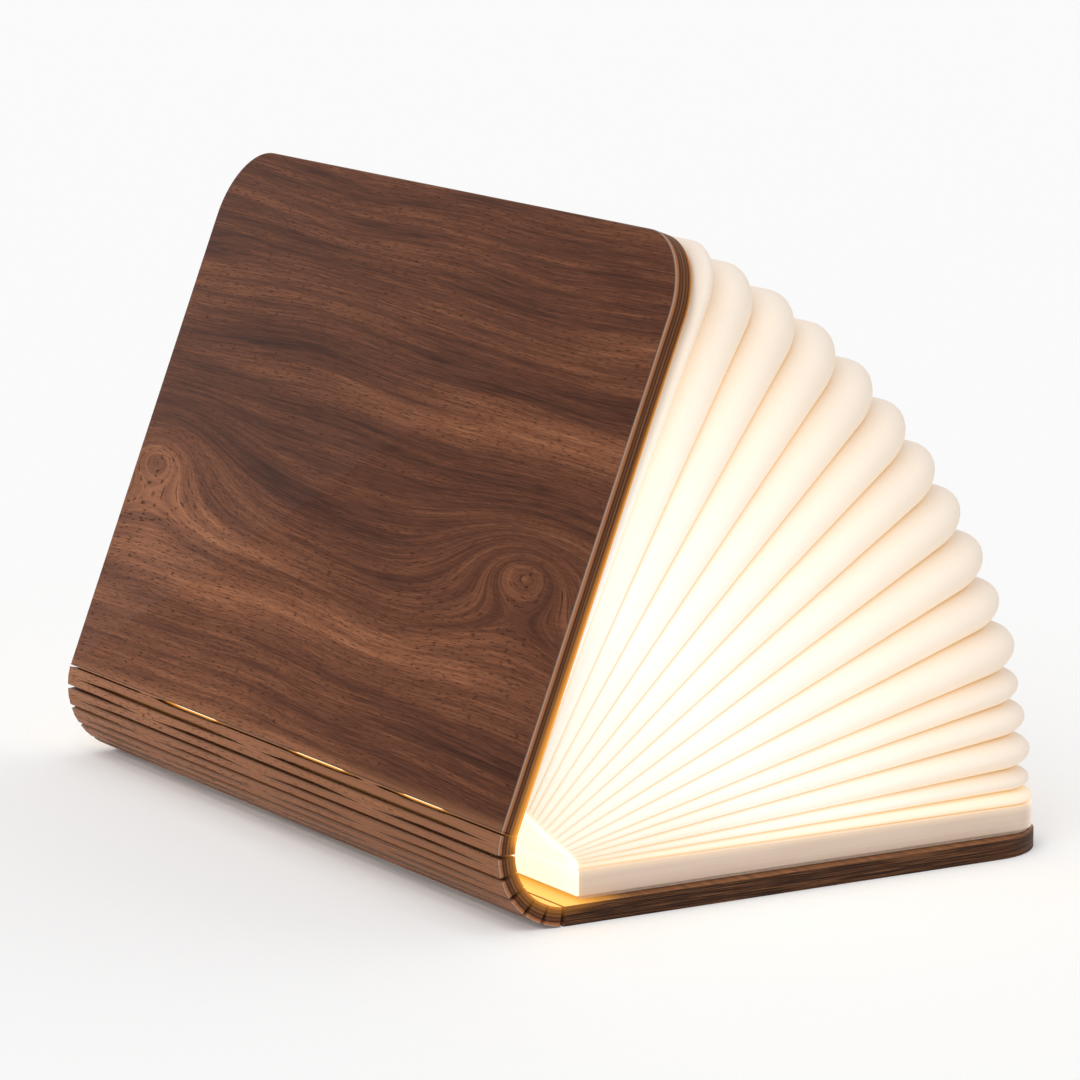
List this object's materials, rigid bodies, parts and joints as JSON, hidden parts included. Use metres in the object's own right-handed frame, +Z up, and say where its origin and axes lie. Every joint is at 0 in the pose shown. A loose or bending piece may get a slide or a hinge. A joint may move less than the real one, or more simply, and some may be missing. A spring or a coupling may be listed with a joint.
{
  "type": "folding book lamp",
  "caption": "Book-shaped folding lamp: walnut plywood covers joined by a kerf-cut bending spine, with translucent paper folds that fan out between them and glow from inside.",
  "frame": {"origin": "centre of the bounding box at the underside of the back cover, on the surface the lamp stands on", "axes": "+X from the spine towards the fore edge, +Y along the spine, +Z up"},
  "size_m": [0.1563, 0.215, 0.1533],
  "materials": {
    "walnut_ply": "open-grained walnut face, satin, on laser-cut plywood",
    "endpaper": "smooth white paper, matt",
    "page_board": "white board, matt, edges like closed pages",
    "fold_paper": "translucent warm white paper, lit from inside",
    "light_board": "white solder mask",
    "light_chip": "yellow phosphor, clear lens",
    "battery_foil": "silver pouch foil",
    "circuit_board": "green solder mask",
    "black_plastic": "moulded black",
    "socket_steel": "plain stamped steel",
    "indicator_lens": "clear tinted",
    "red_lead": "plastic insulation",
    "black_lead": "plastic insulation",
    "magnet_plate": "nickel plate"
  },
  "bodies": {
    "base": {"back_cover": "walnut_ply", "back_endpaper": "endpaper", "page_block": "page_board", "led_board": "light_board", "led_1": "light_chip", "led_2": "light_chip", "led_3": "light_chip", "led_4": "light_chip", "led_5": "light_chip", "led_6": "light_chip", "battery_cell": "battery_foil", "charging_board": "circuit_board", "closing_sensor": "black_plastic", "charging_socket": "socket_steel", "charge_indicator": "indicator_lens", "battery_lead_red": "red_lead", "battery_lead_black": "black_lead", "light_lead_red": "red_lead", "light_lead_black": "black_lead", "back_magnet_near": "magnet_plate", "back_magnet_far": "magnet_plate"},
    "fold_01": {"page_fold_01": "fold_paper"},
    "fold_02": {"page_fold_02": "fold_paper"},
    "strip_01": {"spine_strip_01": "walnut_ply", "page_fold_03": "fold_paper"},
    "fold_04": {"page_fold_04": "fold_paper"},
    "strip_02": {"spine_strip_02": "walnut_ply", "page_fold_05": "fold_paper"},
    "strip_03": {"spine_strip_03": "walnut_ply", "page_fold_06": "fold_paper"},
    "strip_04": {"spine_strip_04": "walnut_ply", "page_fold_07": "fold_paper"},
    "strip_05": {"spine_strip_05": "walnut_ply", "page_fold_08": "fold_paper"},
    "strip_06": {"spine_strip_06": "walnut_ply", "page_fold_09": "fold_paper"},
    "strip_07": {"spine_strip_07": "walnut_ply", "page_fold_10": "fold_paper"},
    "strip_08": {"spine_strip_08": "walnut_ply", "page_fold_11": "fold_paper"},
    "strip_09": {"spine_strip_09": "walnut_ply", "page_fold_12": "fold_paper"},
    "strip_10": {"spine_strip_10": "walnut_ply", "page_fold_13": "fold_paper"},
    "strip_11": {"spine_strip_11": "walnut_ply", "page_fold_14": "fold_paper"},
    "strip_12": {"spine_strip_12": "walnut_ply", "page_fold_15": "fold_paper"},
    "front": {"front_cover": "walnut_ply", "front_endpaper": "endpaper", "front_magnet_near": "magnet_plate", "front_magnet_far": "magnet_plate", "switch_magnet": "magnet_plate", "page_fold_16": "fold_paper"}
  },
  "joints": [
    {"name": "fold_hinge_01", "type": "hinge", "parent": "base", "child": "fold_01", "pos_m": [-0.06117, 0, 0.0023], "axis": [0, -1, 0], "range_deg": [-1.01, 4.24], "deforming": ["page_fold_01"]},
    {"name": "fold_hinge_02", "type": "hinge", "parent": "fold_01", "child": "fold_02", "pos_m": [-0.06117, 0, 0.0023], "axis": [0, -1, 0], "range_deg": [-1.91, 8.05], "deforming": ["page_fold_02"]},
    {"name": "spine_hinge_01", "type": "hinge", "parent": "fold_02", "child": "strip_01", "pos_m": [-0.06117, 0, 0.0023], "axis": [0, -1, 0], "range_deg": [-3.41, 14.4], "deforming": ["page_fold_03"]},
    {"name": "fold_hinge_04", "type": "hinge", "parent": "strip_01", "child": "fold_04", "pos_m": [-0.0635, 0, 0.00265], "axis": [0, -1, 0], "range_deg": [-3.31, 13.98], "deforming": ["page_fold_04"]},
    {"name": "spine_hinge_02", "type": "hinge", "parent": "fold_04", "child": "strip_02", "pos_m": [-0.0635, 0, 0.00265], "axis": [0, -1, 0], "range_deg": [-3.31, 13.98], "deforming": ["page_fold_05"]},
    {"name": "spine_hinge_03", "type": "hinge", "parent": "strip_02", "child": "strip_03", "pos_m": [-0.06576, 0, 0.00335], "axis": [0, -1, 0], "range_deg": [-4.91, 20.75], "deforming": ["page_fold_06"]},
    {"name": "spine_hinge_04", "type": "hinge", "parent": "strip_03", "child": "strip_04", "pos_m": [-0.06789, 0, 0.00437], "axis": [0, -1, 0], "range_deg": [-4.71, 19.9], "deforming": ["page_fold_07"]},
    {"name": "spine_hinge_05", "type": "hinge", "parent": "strip_04", "child": "strip_05", "pos_m": [-0.06984, 0, 0.00569], "axis": [0, -1, 0], "range_deg": [-5.21, 22.02], "deforming": ["page_fold_08"]},
    {"name": "spine_hinge_06", "type": "hinge", "parent": "strip_05", "child": "strip_06", "pos_m": [-0.07157, 0, 0.0073], "axis": [0, -1, 0], "range_deg": [-5.21, 22.02], "deforming": ["page_fold_09"]},
    {"name": "spine_hinge_07", "type": "hinge", "parent": "strip_06", "child": "strip_07", "pos_m": [-0.07304, 0, 0.00914], "axis": [0, -1, 0], "range_deg": [-5.31, 22.44], "deforming": ["page_fold_10"]},
    {"name": "spine_hinge_08", "type": "hinge", "parent": "strip_07", "child": "strip_08", "pos_m": [-0.07423, 0, 0.01118], "axis": [0, -1, 0], "range_deg": [-5.41, 22.87], "deforming": ["page_fold_11"]},
    {"name": "spine_hinge_09", "type": "hinge", "parent": "strip_08", "child": "strip_09", "pos_m": [-0.0751, 0, 0.01338], "axis": [0, -1, 0], "range_deg": [-5.61, 23.71], "deforming": ["page_fold_12"]},
    {"name": "spine_hinge_10", "type": "hinge", "parent": "strip_09", "child": "strip_10", "pos_m": [-0.07563, 0, 0.01567], "axis": [0, -1, 0], "range_deg": [-5.71, 24.14], "deforming": ["page_fold_13"]},
    {"name": "spine_hinge_11", "type": "hinge", "parent": "strip_10", "child": "strip_11", "pos_m": [-0.07581, 0, 0.01803], "axis": [0, -1, 0], "range_deg": [-5.61, 23.71], "deforming": ["page_fold_14"]},
    {"name": "spine_hinge_12", "type": "hinge", "parent": "strip_11", "child": "strip_12", "pos_m": [-0.07564, 0, 0.02038], "axis": [0, -1, 0], "range_deg": [-5.71, 24.14], "deforming": ["page_fold_15"]},
    {"name": "spine_hinge_13", "type": "hinge", "parent": "strip_12", "child": "front", "pos_m": [-0.07513, 0, 0.02268], "axis": [0, -1, 0], "range_deg": [-2.6, 11], "deforming": ["page_fold_16"]}
  ],
  "couplings": [
    {"joint": "fold_hinge_01", "follows": "spine_hinge_13", "ratio": 0.38461},
    {"joint": "fold_hinge_02", "follows": "spine_hinge_13", "ratio": 0.73077},
    {"joint": "spine_hinge_01", "follows": "spine_hinge_13", "ratio": 1.3077},
    {"joint": "fold_hinge_04", "follows": "spine_hinge_13", "ratio": 1.2692},
    {"joint": "spine_hinge_02", "follows": "spine_hinge_13", "ratio": 1.2692},
    {"joint": "spine_hinge_03", "follows": "spine_hinge_13", "ratio": 1.8846},
    {"joint": "spine_hinge_04", "follows": "spine_hinge_13", "ratio": 1.8077},
    {"joint": "spine_hinge_05", "follows": "spine_hinge_13", "ratio": 2},
    {"joint": "spine_hinge_06", "follows": "spine_hinge_13", "ratio": 2},
    {"joint": "spine_hinge_07", "follows": "spine_hinge_13", "ratio": 2.0385},
    {"joint": "spine_hinge_08", "follows": "spine_hinge_13", "ratio": 2.0769},
    {"joint": "spine_hinge_09", "follows": "spine_hinge_13", "ratio": 2.1538},
    {"joint": "spine_hinge_10", "follows": "spine_hinge_13", "ratio": 2.1923},
    {"joint": "spine_hinge_11", "follows": "spine_hinge_13", "ratio": 2.1538},
    {"joint": "spine_hinge_12", "follows": "spine_hinge_13", "ratio": 2.1923}
  ]
}
